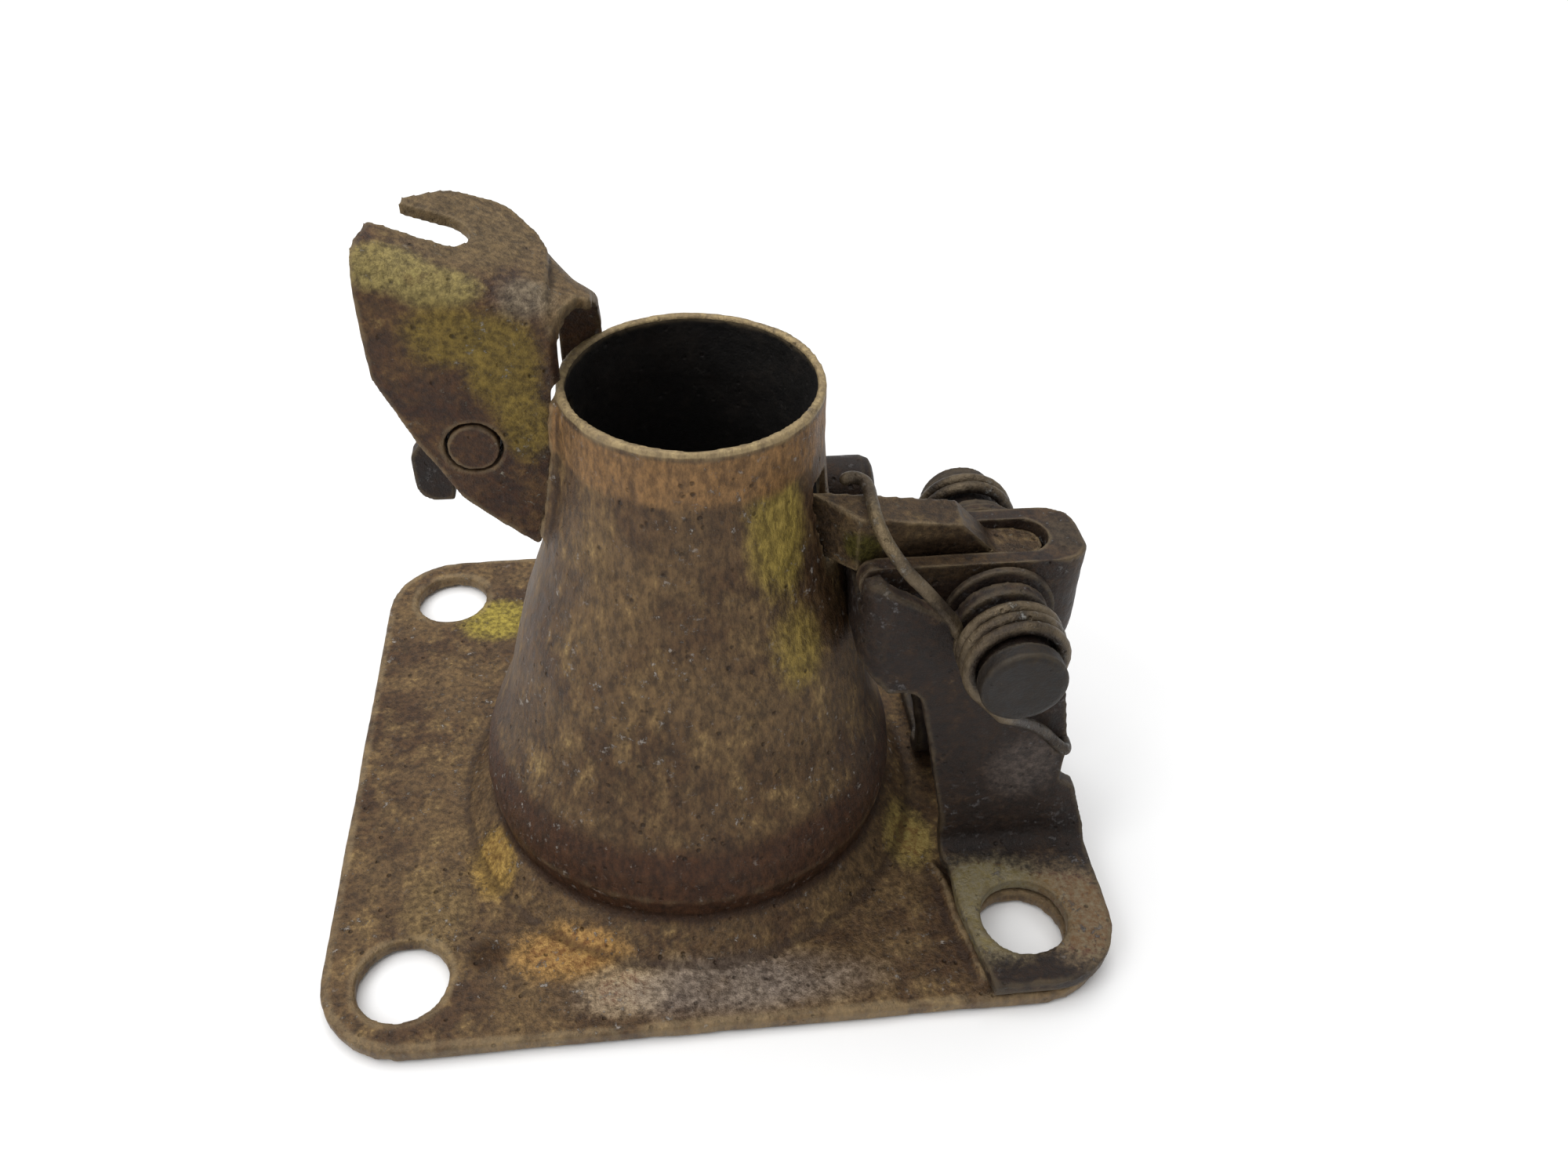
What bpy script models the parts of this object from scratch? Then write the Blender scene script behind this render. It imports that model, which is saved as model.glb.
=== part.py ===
"""Control lever turret: a pressed steel cone on a four-hole flange.

A sprung fork with a latch bar is hinged in a U bracket on the cone's right
side. A bent cable bracket with an open slot stands on its left side and
carries a small cable lever. Lengths are in millimetres and are turned into
metres when each mesh is made. The origin is the middle of the flange's
underside, +Z is up and +X points to the latch.
"""
import math

import bmesh
import bpy
from mathutils import Matrix, Vector

MM = 0.001
GAP = 0.3

# Flange
FLANGE_LENGTH = 108.7
FLANGE_WIDTH = 99.4
FLANGE_CORNER = 12.0
SHEET = 2.4
HOLE_RADIUS = 6.0
HOLE_LEFT = -43.35
HOLE_RIGHT = 41.65
HOLE_SIDE = 39.05

# Cone
CONE_Y = -6.6
CONE_X = -2.9
CONE_LEAN = 0.027
CONE_LEAN_FROM = 6.7
RIM_HEIGHT = 74.2
CONE_PROFILE = (
    (34.0, 2.4), (29.4, 6.7), (30.2, 11.0), (29.6, 15.2), (28.0, 20.3),
    (25.8, 25.8), (24.4, 32.2), (22.5, 40.7), (19.7, 49.2), (17.7, 57.7),
    (17.0, 62.8), (16.6, 66.2), (16.5, 70.4), (16.3, RIM_HEIGHT),
)
WALL_BASE = 2.2
WALL_RIM = 1.3

# Latch bracket: one U channel, its web against the cone and its feet turned out
FORK_AXIS = (36.3, 47.4)
CHEEK_FRONT = -25.5
CHEEK_REAR = -5.8
CHEEK_SHEET = 2.4
WEB_LEFT = 18.3
WEB_TOP = 50.0
CHANNEL_BEND = 4.0
WINDOW_TOP = 36.9
FOOT_BEND = 4.8
FOOT_EDGE = 49.65
EYE_RADIUS = 6.2

# Latch pin and what it carries, from front to rear
PIN_RADIUS = 3.0
BORE_RADIUS = 3.3
HEAD_RADIUS = 5.45
HEAD_FRONT = -36.1
HEAD_BACK = -33.4
PIN_END = 3.9
WASHER_RADIUS = 7.3
BUSH_RADIUS = 4.6
WIRE_RADIUS = 0.875
COIL_RADIUS = 6.05
COIL_PITCH = 1.8
COIL_START = 190
COIL_END = 226 + 3 * 360

# Fork and latch bar
FORK_FRONT = -21.3
FORK_REAR = -10.2
SLOT_FRONT = -19.0
SLOT_REAR = -12.6
FORK_LEFT = 18.2
FORK_RIGHT = 48.2
SLOT_END = 43.35
BAR_FRONT = -18.5
BAR_REAR = -13.0

# Cable bracket and cable lever
BRACKET_SHEET = 1.5
BRACKET_FRONT = -8.5
BRACKET_SLOPE = 0.33
BRACKET_BEND = 5.0
BRACKET_LEG = 6.5
LEG_BEND = 9.6
BRACKET_TOP = (-16.6, 84.3)
BRACKET_TOP_RISE = 0.1
LEVER_AXIS = (-27.6, 66.5)
LEVER_PIN_RADIUS = 3.1
LEVER_SHEET = 2.5

ROUND_STEPS = 48


# ---------------------------------------------------------------- helpers
def clear_scene():
    for item in list(bpy.data.objects):
        bpy.data.objects.remove(item, do_unlink=True)


def material(name, colour, roughness, metallic):
    made = bpy.data.materials.new(name)
    made.use_nodes = True
    shader = made.node_tree.nodes["Principled BSDF"]
    shader.inputs["Base Color"].default_value = (*colour, 1.0)
    shader.inputs["Roughness"].default_value = roughness
    shader.inputs["Metallic"].default_value = metallic
    return made


def arc(centre, radius, start, end, steps):
    """Points on a circle, with the angles in degrees."""
    points = []
    for step in range(steps + 1):
        angle = math.radians(start + (end - start) * step / steps)
        points.append((centre[0] + radius * math.cos(angle),
                       centre[1] + radius * math.sin(angle)))
    return points


def rounded(corners, steps=6):
    """An outline from its corners: (a, b), or (a, b, radius) for a rounded one."""
    points = []
    count = len(corners)
    for index, corner in enumerate(corners):
        here = Vector(corner[:2])
        if len(corner) == 2:
            points.append(tuple(here))
            continue
        radius = corner[2]
        before = (Vector(corners[index - 1][:2]) - here).normalized()
        after = (Vector(corners[(index + 1) % count][:2]) - here).normalized()
        half = before.angle(after) / 2
        reach = radius / math.tan(half)
        centre = here + (before + after).normalized() * radius / math.sin(half)
        first = here + before * reach - centre
        last = here + after * reach - centre
        turn = first.angle_signed(last)
        for step in range(steps + 1):
            angle = -turn * step / steps
            arm = Matrix.Rotation(angle, 2) @ first
            points.append(tuple(centre + arm))
    return points


def make_object(name, mesh_data):
    """An object from a bmesh, with its normals outward and round faces smooth."""
    bmesh.ops.recalc_face_normals(mesh_data, faces=mesh_data.faces)
    mesh = bpy.data.meshes.new(name)
    mesh_data.to_mesh(mesh)
    mesh_data.free()
    item = bpy.data.objects.new(name, mesh)
    bpy.context.scene.collection.objects.link(item)
    return item


def prism(outline, axis, low, high, name="tool"):
    """A solid of one outline: 'X' takes (y, z), 'Y' takes (x, z), 'Z' takes (x, y)."""
    place = {
        "X": lambda a, b, c: (c, a, b),
        "Y": lambda a, b, c: (a, c, b),
        "Z": lambda a, b, c: (a, b, c),
    }[axis]
    made = bmesh.new()
    loops = []
    for level in (low, high):
        loops.append([made.verts.new(Vector(place(a, b, level)) * MM) for a, b in outline])
    made.faces.new(loops[0])
    made.faces.new(loops[1])
    count = len(outline)
    for index in range(count):
        after = (index + 1) % count
        made.faces.new((loops[0][index], loops[0][after], loops[1][after], loops[1][index]))
    return make_object(name, made)


def disc(centre, radius, axis, low, high, steps=32):
    return prism(arc(centre, radius, 0, 360 - 360 / steps, steps - 1), axis, low, high)


def boolean(body, tool, operation):
    """Applies one Boolean to body, and removes the tool."""
    modifier = body.modifiers.new("boolean", "BOOLEAN")
    modifier.operation = operation
    modifier.object = tool
    scene_state = bpy.context.evaluated_depsgraph_get()
    result = bpy.data.meshes.new_from_object(body.evaluated_get(scene_state))
    body.modifiers.clear()
    body.data = result
    bpy.data.objects.remove(tool, do_unlink=True)


def cut(body, *tools):
    for tool in tools:
        boolean(body, tool, "DIFFERENCE")


def join(body, *tools):
    for tool in tools:
        boolean(body, tool, "UNION")


def trim(body, *tools):
    for tool in tools:
        boolean(body, tool, "INTERSECT")


def turned(profile, place, closed):
    """Revolves (radius, height) points. place(radius, height, angle) gives the point."""
    made = bmesh.new()
    rings = []
    for radius, height in profile:
        ring = []
        for step in range(ROUND_STEPS):
            angle = 2 * math.pi * step / ROUND_STEPS
            ring.append(made.verts.new(Vector(place(radius, height, angle)) * MM))
        rings.append(ring)
    pairs = list(zip(rings, rings[1:]))
    if closed:
        pairs.append((rings[-1], rings[0]))
    else:
        made.faces.new(rings[0])
        made.faces.new(rings[-1])
    for lower, upper in pairs:
        for step in range(ROUND_STEPS):
            after = (step + 1) % ROUND_STEPS
            made.faces.new((lower[step], lower[after], upper[after], upper[step]))
    return make_object("tool", made)


def turned_on_y(profile, axis):
    """Turns (radius, y) points about an axis along Y through (x, z)."""
    def place(radius, y, angle):
        return (axis[0] + radius * math.cos(angle), y, axis[1] + radius * math.sin(angle))
    return turned(profile, place, closed=False)


def tube_on_y(inner, outer, front, back, axis, steps=32):
    ring = disc(axis, outer, "Y", front, back, steps)
    cut(ring, disc(axis, inner, "Y", front - 1, back + 1, steps))
    return ring


def wire(name, points, radius):
    """A round wire with closed ends along the points."""
    curve = bpy.data.curves.new(name, "CURVE")
    curve.dimensions = "3D"
    curve.bevel_depth = radius * MM
    curve.bevel_resolution = 2
    curve.use_fill_caps = True
    spline = curve.splines.new("POLY")
    spline.points.add(len(points) - 1)
    for point, place in zip(spline.points, points):
        point.co = (*(Vector(place) * MM), 1.0)
    item = bpy.data.objects.new(name, curve)
    bpy.context.scene.collection.objects.link(item)
    return item


def coil(axis, radius, y_start, pitch, start, end, per_turn=20):
    """Points of a helix about an axis along Y, with the angles in degrees."""
    steps = max(2, round(abs(end - start) / 360 * per_turn))
    points = []
    for step in range(steps + 1):
        swept = (end - start) * step / steps
        angle = math.radians(start + swept)
        points.append((axis[0] + radius * math.cos(angle),
                       y_start + pitch * abs(swept) / 360,
                       axis[1] + radius * math.sin(angle)))
    return points


def finish(item, name, finish_material, origin=(0.0, 0.0, 0.0), smooth=True):
    """Names the node, puts its origin in place and gives it its material."""
    item.name = name
    item.data.name = name
    shift = Matrix.Translation(-Vector(origin) * MM)
    if item.type == "MESH":
        item.data.transform(shift)
        if smooth:
            item.data.shade_smooth()
            item.data.set_sharp_from_angle(angle=math.radians(35))
    else:
        item.data.transform(shift)
    item.location = Vector(origin) * MM
    item.data.materials.clear()
    item.data.materials.append(finish_material)
    return item


# ---------------------------------------------------------------- turret
def cone_place(radius, height, angle):
    middle = CONE_X + CONE_LEAN * (height - CONE_LEAN_FROM)
    return (middle + radius * math.cos(angle), CONE_Y + radius * math.sin(angle), height)


def cone_outside(extra):
    """The cone's outer shape, grown by extra, as a solid that trims its neighbours."""
    profile = [(radius + extra, height) for radius, height in CONE_PROFILE]
    profile.insert(0, (CONE_PROFILE[0][0] + extra, -5.0))
    profile.append((CONE_PROFILE[-1][0] + extra, RIM_HEIGHT + extra))
    return turned(profile, cone_place, closed=False)


def cone_shell():
    base_radius = CONE_PROFILE[0][0]
    outer = [(base_radius, 0.0)] + list(CONE_PROFILE)
    inner = []
    for radius, height in reversed(CONE_PROFILE):
        share = height / RIM_HEIGHT
        wall = WALL_BASE + (WALL_RIM - WALL_BASE) * share
        inner.append((radius - wall, height))
    inner[-1] = (base_radius - WALL_BASE, 0.6)
    inner.append((base_radius - WALL_BASE, 0.0))
    return turned(outer + inner, cone_place, closed=True)


def turret_body(steel):
    half_length = FLANGE_LENGTH / 2
    half_width = FLANGE_WIDTH / 2
    corners = [(-half_length, -half_width), (half_length, -half_width),
               (half_length, half_width), (-half_length, half_width)]
    body = prism(rounded([(*corner, FLANGE_CORNER) for corner in corners]), "Z", 0.0, SHEET)
    throat = CONE_PROFILE[0][0] - WALL_BASE / 2
    throat_x = CONE_X + CONE_LEAN * (SHEET - CONE_LEAN_FROM)
    cut(body, disc((throat_x, CONE_Y), throat, "Z", -1.0, SHEET + 1, ROUND_STEPS))
    for x in (HOLE_LEFT, HOLE_RIGHT):
        for y in (-HOLE_SIDE, HOLE_SIDE):
            cut(body, disc((x, y), HOLE_RADIUS, "Z", -1.0, SHEET + 1))
    join(body, cone_shell())
    nose_window = [(BAR_REAR - 2.5, 50.4), (BAR_REAR + 1.6, 50.4),
                   (BAR_REAR + 1.6, 63.4), (BAR_REAR - 2.5, 63.4)]
    cut(body, prism(nose_window, "X", 6.0, 24.0))
    finger_slot = [(-7.6, 57.5), (-2.4, 57.5), (-2.4, 69.5), (-7.6, 69.5)]
    cut(body, prism(finger_slot, "X", -24.0, -10.0))
    return finish(body, "turret_body", steel)


# ---------------------------------------------------------------- latch bracket
def foot(front, back, edge):
    """A cheek's lower end, bent out over the flange towards edge."""
    under = SHEET + GAP
    top = under + CHEEK_SHEET
    inner_bend = FOOT_BEND - CHEEK_SHEET
    section = rounded([(front, 14.0), (back, 14.0), (back, under, FOOT_BEND),
                       (edge, under), (edge, top), (front, top, inner_bend)])
    plate = prism(section, "X", 28.0, 56.0)
    side = math.copysign(1.0, edge)
    plan = rounded([(29.5, back), (33.1, back + 6.0 * side), (33.2, 35.9 * side),
                    (35.2, edge), (54.3, edge, 10.5), (54.3, back)])
    trim(plate, prism(plan, "Z", -1.0, 20.0))
    return plate


def latch_bracket(steel):
    front = CHEEK_FRONT
    rear = CHEEK_REAR
    inside = CHANNEL_BEND - CHEEK_SHEET
    reach = 56.0
    plan = rounded([
        (reach, front), (WEB_LEFT, front, CHANNEL_BEND), (WEB_LEFT, rear, CHANNEL_BEND),
        (reach, rear), (reach, rear - CHEEK_SHEET),
        (WEB_LEFT + CHEEK_SHEET, rear - CHEEK_SHEET, inside),
        (WEB_LEFT + CHEEK_SHEET, front + CHEEK_SHEET, inside),
        (reach, front + CHEEK_SHEET),
    ])
    body = prism(plan, "Z", 11.0, 60.0)
    join(body, foot(front, front + CHEEK_SHEET, -FOOT_EDGE),
         foot(rear, rear - CHEEK_SHEET, FOOT_EDGE))
    side_view = rounded([(16.0, 45.0), (19.9, 39.7), (22.4, WINDOW_TOP),
                         (26.6, WINDOW_TOP, 2.6), (28.9, 27.0),
                         (30.5, 18.7), (32.4, 9.8), (32.6, 0.0), (57.0, 0.0),
                         (54.0, 7.5), (51.4, 15.6), (48.7, 17.7), (48.9, 23.8),
                         (46.8, 23.8), (46.8, 26.4), (48.4, 26.4), (46.6, 35.9)])
    side_view += arc(FORK_AXIS, EYE_RADIUS, -12, 166, 14)
    side_view += [(20.6, 54.9), (16.0, 54.0)]
    trim(body, prism(side_view, "Y", -60.0, 60.0))
    cut(body, cone_outside(GAP))
    web_notch = [(15.0, -21.9), (WEB_LEFT + CHANNEL_BEND, -21.9),
                 (WEB_LEFT + CHANNEL_BEND, -9.5), (15.0, -9.5)]
    cut(body, prism(web_notch, "Z", WEB_TOP, 60.0))
    cut(body, disc(FORK_AXIS, BORE_RADIUS, "Y", -30.0, 0.0))
    cut(body, disc((HOLE_RIGHT + 0.3, -HOLE_SIDE + 0.2), HOLE_RADIUS, "Z", 0.0, 9.0))
    cut(body, disc((HOLE_RIGHT, HOLE_SIDE), HOLE_RADIUS, "Z", 0.0, 9.0))
    return finish(body, "latch_bracket", steel)


# ---------------------------------------------------------------- latch pin stack
def pivot_pin(steel):
    dome = 0.35
    profile = [(HEAD_RADIUS - 0.9, HEAD_FRONT), (HEAD_RADIUS, HEAD_FRONT + dome),
               (HEAD_RADIUS, HEAD_BACK), (PIN_RADIUS, HEAD_BACK),
               (PIN_RADIUS, PIN_END - 0.6), (PIN_RADIUS - 0.6, PIN_END)]
    return finish(turned_on_y(profile, FORK_AXIS), "pivot_pin", steel)


def pin_stack(steel):
    """Washers, bushes and the retainer, each a sleeve on the pin."""
    inner_front = CHEEK_FRONT + CHEEK_SHEET
    inner_rear = CHEEK_REAR - CHEEK_SHEET
    sleeves = (
        ("front_spring_bush", BUSH_RADIUS, HEAD_BACK + GAP, CHEEK_FRONT - GAP),
        ("front_washer", WASHER_RADIUS, inner_front + GAP, FORK_FRONT - GAP),
        ("fork_bush", 4.2, SLOT_FRONT + GAP, SLOT_REAR - GAP),
        ("rear_washer", WASHER_RADIUS, FORK_REAR + GAP, inner_rear - GAP),
        ("rear_spring_bush", BUSH_RADIUS, CHEEK_REAR + GAP, 0.2),
        ("retainer_washer", 5.6, 0.5, 1.4),
    )
    for name, radius, front, back in sleeves:
        sleeve = tube_on_y(BORE_RADIUS, radius, front, back, FORK_AXIS)
        finish(sleeve, name, steel, origin=(FORK_AXIS[0], 0.0, FORK_AXIS[1]))
    retainer = tube_on_y(BORE_RADIUS, 5.2, 1.7, 2.8, FORK_AXIS)
    opening = [(34.6, 40.0), (38.0, 40.0), (38.0, 46.0), (34.6, 46.0)]
    cut(retainer, prism(opening, "Y", 1.0, 4.0))
    finish(retainer, "pin_retainer", steel)


def springs(steel):
    coil_back = CHEEK_FRONT - GAP - WIRE_RADIUS
    turns = (COIL_END - COIL_START) / 360
    hook = [(16.9, -11.6, 61.2), (18.0, -11.2, 61.6), (19.3, -11.9, 61.8),
            (19.95, -13.6, 61.9), (19.95, -17.2, 61.9), (20.0, -20.6, 61.7),
            (20.9, -23.2, 60.4), (22.9, -25.6, 58.1), (25.2, coil_back, 55.8),
            (27.4, coil_back, 52.9), (29.3, coil_back, 50.3)]
    body = coil(FORK_AXIS, COIL_RADIUS, coil_back, -COIL_PITCH, COIL_START, COIL_END)
    coil_front = coil_back - COIL_PITCH * turns
    tail = [(35.9, coil_front + 0.6, 38.2), (38.6, coil_front + 2.4, 35.4),
            (41.3, coil_front + 4.2, 32.5), (44.2, coil_back - 0.2, 29.3),
            (46.4, coil_back, 26.6), (47.6, coil_back, 25.5),
            (48.1, coil_back + 1.0, 25.1), (48.1, coil_back + 3.4, 25.1)]
    finish(wire("front_spring", hook + body + tail, WIRE_RADIUS), "front_spring", steel)

    rear_front = CHEEK_REAR + GAP + WIRE_RADIUS
    rear_hook = [(26.2, -8.8, 52.9), (26.4, -6.4, 52.8), (27.0, rear_front, 51.9),
                 (29.0, rear_front, 49.3)]
    rear_body = coil(FORK_AXIS, COIL_RADIUS, rear_front, COIL_PITCH,
                     COIL_START, COIL_END - 360)
    rear_end = rear_front + COIL_PITCH * (turns - 1)
    rear_tail = [(36.4, rear_end - 0.3, 38.6), (40.5, rear_end - 1.6, 34.0),
                 (44.4, rear_end - 2.8, 29.5)]
    finish(wire("rear_spring", rear_hook + rear_body + rear_tail, WIRE_RADIUS),
           "rear_spring", steel)


# ---------------------------------------------------------------- fork and bar
def release_fork(steel):
    slot_half = (SLOT_REAR - SLOT_FRONT) / 2 - 0.01
    left = FORK_LEFT - 2.0
    plan = rounded([
        (left, FORK_FRONT), (FORK_RIGHT, FORK_FRONT, 4.4), (FORK_RIGHT, FORK_REAR, 4.4),
        (left, FORK_REAR), (left, SLOT_REAR), (SLOT_END, SLOT_REAR, slot_half),
        (SLOT_END, SLOT_FRONT, slot_half), (left, SLOT_FRONT),
    ])
    body = prism(plan, "Z", 36.0, 60.0)
    side_view = rounded([(FORK_LEFT, 50.6, 1.9), (FORK_LEFT, 54.9, 2.2),
                         (FORK_RIGHT, 54.9, 1.2), (FORK_RIGHT, 40.2, 3.0),
                         (42.5, 40.2)])
    side_view += arc(FORK_AXIS, 7.3, 280, 188, 8)
    side_view += [(28.0, 50.6)]
    trim(body, prism(side_view, "Y", -30.0, 0.0))
    cut(body, disc(FORK_AXIS, BORE_RADIUS, "Y", -30.0, 0.0))
    finish(body, "release_fork", steel, origin=(FORK_AXIS[0], 0.0, FORK_AXIS[1]))


def latch_bar(steel):
    side_view = [(12.0, 52.1), (12.0, 61.2), (16.1, 60.8), (31.4, 58.9), (36.1, 54.1),
                 (43.0, 53.6), (43.0, 52.1)]
    body = prism(side_view, "Y", -30.0, 0.0)
    plan = rounded([(18.3, BAR_FRONT), (42.85, BAR_FRONT, 2.7), (42.85, BAR_REAR, 2.7),
                    (12.7, BAR_REAR)])
    trim(body, prism(plan, "Z", 50.0, 64.0))
    finish(body, "latch_bar", steel, origin=(FORK_AXIS[0], 0.0, FORK_AXIS[1]))


def rear_stop_stub(steel):
    def place(radius, x, angle):
        return (x, 4.3 + radius * math.cos(angle), 49.2 + radius * math.sin(angle))
    body = turned([(4.2, 8.0), (4.2, 22.6), (3.7, 23.8), (2.6, 24.4)], place, closed=False)
    cut(body, cone_outside(GAP))
    finish(body, "rear_stop_stub", steel)


# ---------------------------------------------------------------- cable bracket
def bracket_section(leg):
    """Across the bracket: (y, height over the bend line), with or without the rear leg."""
    front = BRACKET_FRONT
    inner_front = front + BRACKET_SHEET
    inside = BRACKET_BEND - BRACKET_SHEET
    if leg:
        back = BRACKET_LEG
        return rounded([
            (inner_front, -50.0), (front, -50.0), (front, 0.0, BRACKET_BEND),
            (back, 0.0, LEG_BEND), (back, -36.0), (back - BRACKET_SHEET, -36.0),
            (back - BRACKET_SHEET, -BRACKET_SHEET, LEG_BEND - BRACKET_SHEET),
            (inner_front, -BRACKET_SHEET, inside),
        ])
    rise = BRACKET_TOP_RISE * (14.0 - front)
    return rounded([
        (inner_front, -50.0), (front, -50.0), (front, 0.0, BRACKET_BEND),
        (14.0, rise), (14.0, rise - BRACKET_SHEET), (inner_front, -BRACKET_SHEET, inside),
    ])


def bracket_sheet(leg):
    """The bent sheet, turned so that its bend line runs down towards the cone."""
    sheet = prism(bracket_section(leg), "X", -60.0, 60.0)
    slope = math.atan(BRACKET_SLOPE)
    place = Matrix.Translation(Vector((BRACKET_TOP[0], 0.0, BRACKET_TOP[1])) * MM)
    sheet.data.transform(place @ Matrix.Rotation(slope, 4, "Y"))
    return sheet


def cable_bracket(steel):
    body = bracket_sheet(leg=False)
    plan = rounded([(-38.1, -10.0), (-17.2, -10.0), (-17.2, 4.4), (-18.6, 7.7, 3.0),
                    (-22.3, 11.8, 4.0), (-28.8, 11.8, 4.0), (-33.7, 7.0, 0.8),
                    (-34.0, 5.0), (-38.0, 4.0), (-36.8, 0.0), (-37.8, -5.5)])
    trim(body, prism(plan, "Z", 40.0, 110.0))
    arch = bracket_sheet(leg=True)
    arch_plan = [(-17.6, -8.6), (-17.3, -8.6), (-15.7, -6.2), (-14.2, -4.0),
                 (-12.6, -1.0), (-11.8, 3.0), (-11.5, 8.0), (-16.4, 8.0), (-17.6, 3.4)]
    trim(arch, prism(arch_plan, "Z", 55.0, 110.0))
    join(body, arch)
    side_view = [(-38.1, 92.5), (-38.1, 76.9), (-34.3, 67.6), (-29.9, 59.2),
                 (-25.6, 54.9), (-21.7, 51.6), (-10.0, 48.0), (-10.0, 100.0),
                 (-37.0, 100.0)]
    trim(body, prism(side_view, "Y", -20.0, 20.0))
    slot = arc((-28.9, 2.5), 2.9, 100, -110, 12) + [(-31.2, -0.4), (-42.0, 0.9), (-42.0, 5.2)]
    cut(body, prism(slot, "Z", 70.0, 110.0))
    cut(body, cone_outside(GAP))
    cut(body, disc(LEVER_AXIS, LEVER_PIN_RADIUS + GAP, "Y", -20.0, 0.0))
    finish(body, "cable_bracket", steel)


def cable_lever(steel):
    wall_back = BRACKET_FRONT + BRACKET_SHEET
    washer_back = wall_back + GAP + 0.8
    lever_front = washer_back + GAP
    lever_back = lever_front + LEVER_SHEET
    washer = tube_on_y(LEVER_PIN_RADIUS + GAP, 5.2, wall_back + GAP, washer_back, LEVER_AXIS)
    finish(washer, "cable_lever_washer", steel, origin=(LEVER_AXIS[0], 0.0, LEVER_AXIS[1]))

    plan = rounded([(-31.3, 56.8), (-31.0, 60.6), (-26.5, 61.0), (-22.0, 61.4),
                    (-15.4, 61.6, 1.2), (-15.4, 65.4, 1.2), (-21.5, 66.6),
                    (-23.0, 71.6, 3.0), (-30.6, 71.8, 4.0), (-33.0, 67.5),
                    (-35.9, 63.6, 1.5), (-35.9, 56.8, 2.6)])
    lever = prism(plan, "Y", lever_front, lever_back)
    cut(lever, disc(LEVER_AXIS, LEVER_PIN_RADIUS + GAP, "Y", -20.0, 5.0))
    finish(lever, "cable_lever", steel, origin=(LEVER_AXIS[0], 0.0, LEVER_AXIS[1]))

    clip = tube_on_y(LEVER_PIN_RADIUS + 0.05, 5.0, lever_back + GAP, lever_back + 1.3,
                     LEVER_AXIS)
    opening = [(-29.4, 58.0), (-25.8, 58.0), (-25.8, 65.0), (-29.4, 65.0)]
    cut(clip, prism(opening, "Y", -5.0, 5.0))
    finish(clip, "cable_lever_clip", steel)

    pin = turned_on_y([(LEVER_PIN_RADIUS, BRACKET_FRONT - 0.1),
                       (LEVER_PIN_RADIUS, lever_back + 1.2),
                       (LEVER_PIN_RADIUS - 0.6, lever_back + 1.8)], LEVER_AXIS)
    cut(clip, disc(LEVER_AXIS, LEVER_PIN_RADIUS + GAP, "Y", -5.0, 5.0))
    finish(pin, "cable_lever_pin", steel)


def build():
    clear_scene()
    passivated = material("rusted_yellow_zinc", (0.30, 0.22, 0.10), 0.55, 0.6)
    brown = material("brown_oxide_steel", (0.14, 0.09, 0.065), 0.65, 0.4)
    dark = material("dark_spring_steel", (0.11, 0.08, 0.065), 0.55, 0.5)
    bright = material("worn_bar_steel", (0.30, 0.24, 0.17), 0.50, 0.5)
    turret_body(passivated)
    latch_bracket(brown)
    pivot_pin(brown)
    pin_stack(brown)
    springs(dark)
    release_fork(brown)
    latch_bar(bright)
    rear_stop_stub(dark)
    cable_bracket(passivated)
    cable_lever(dark)


build()
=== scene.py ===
"""Looks of the lever turret: fine meshes, welds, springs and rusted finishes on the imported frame."""
import math

import bmesh
import bpy
import numpy as np
from mathutils import Matrix, Vector, noise

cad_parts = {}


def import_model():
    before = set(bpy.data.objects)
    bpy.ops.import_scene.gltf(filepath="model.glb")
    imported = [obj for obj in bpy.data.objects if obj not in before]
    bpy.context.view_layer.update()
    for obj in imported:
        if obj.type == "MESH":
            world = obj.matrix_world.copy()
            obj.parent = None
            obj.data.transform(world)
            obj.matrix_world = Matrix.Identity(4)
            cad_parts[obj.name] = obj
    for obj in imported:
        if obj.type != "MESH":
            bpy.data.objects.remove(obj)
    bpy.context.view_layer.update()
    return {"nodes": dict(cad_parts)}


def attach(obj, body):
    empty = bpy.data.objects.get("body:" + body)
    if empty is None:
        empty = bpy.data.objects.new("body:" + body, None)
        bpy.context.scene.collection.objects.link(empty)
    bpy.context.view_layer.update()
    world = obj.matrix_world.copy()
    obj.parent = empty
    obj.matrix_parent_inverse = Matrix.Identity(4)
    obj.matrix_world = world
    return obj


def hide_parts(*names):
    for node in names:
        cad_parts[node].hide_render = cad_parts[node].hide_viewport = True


MM = 0.001

# Driving dimensions of the part: lengths in millimetres, angles in degrees, slopes as ratios
CONE_X = -2.9
CONE_Y = -6.6
CONE_LEAN = 0.027
CONE_FOOT = 6.7
# Radius and height of each step up the cone's outside, from its flare to its rim
CONE_PROFILE = [(34.0, 2.4), (29.4, 6.7), (30.2, 11.0), (29.6, 15.2), (28.0, 20.3),
                (25.8, 25.8), (24.4, 32.2), (22.5, 40.7), (19.7, 49.2), (17.7, 57.7),
                (17.0, 62.8), (16.6, 66.2), (16.5, 70.4), (16.3, 74.2)]
RIM_TOP = 74.2
INSIDE_FROM = 2.0
LIP = 0.5
WALL_MIDDLE = 0.6
FORK_AXIS = (36.3, 47.4)
CHEEK_REAR = -5.8
GAP = 0.3
COIL_RADIUS = 6.05
COIL_PITCH = 1.8
WIRE_RADIUS = 0.875
COIL_Y = -26.675
COIL_START = 190
COIL_END = 226 + 3 * 360
BRACKET_FRONT = -8.5
BRACKET_SHEET = 1.5
WALL_SEAM_Y = BRACKET_FRONT - 0.5
BRACKET_SLOPE = 0.33
BRACKET_RISE = 0.1
BRACKET_TOP = (-16.6, 84.3)
ARCH_START = -14.6
ARCH_FADE = 6.0


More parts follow.
